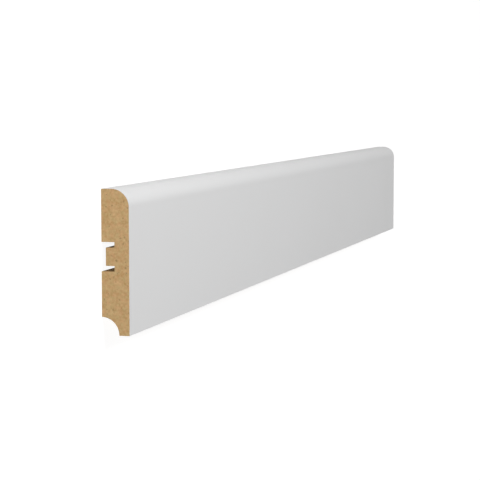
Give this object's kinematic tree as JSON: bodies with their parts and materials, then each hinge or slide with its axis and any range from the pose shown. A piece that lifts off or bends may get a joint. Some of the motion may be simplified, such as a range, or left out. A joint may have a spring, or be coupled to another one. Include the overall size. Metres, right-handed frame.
{
  "type": "skirting board length",
  "caption": "Length of foil-wrapped MDF skirting board with a rounded top edge, a clip channel in its back and a quarter-round cable cove behind its foot.",
  "frame": {"origin": "under the middle of the board, on the plane of its back, which it lies on", "axes": "+X along the board; +Y across it, from the foot edge to the rounded top edge; +Z out of the finished face"},
  "size_m": [0.75, 0.08, 0.016],
  "materials": {
    "mdf": "raw moulded and sawn medium density fibreboard",
    "white_foil": "smooth satin white wrapping foil"
  },
  "bodies": {
    "root": {"mdf_core": "mdf", "white_foil": "white_foil"}
  },
  "joints": []
}
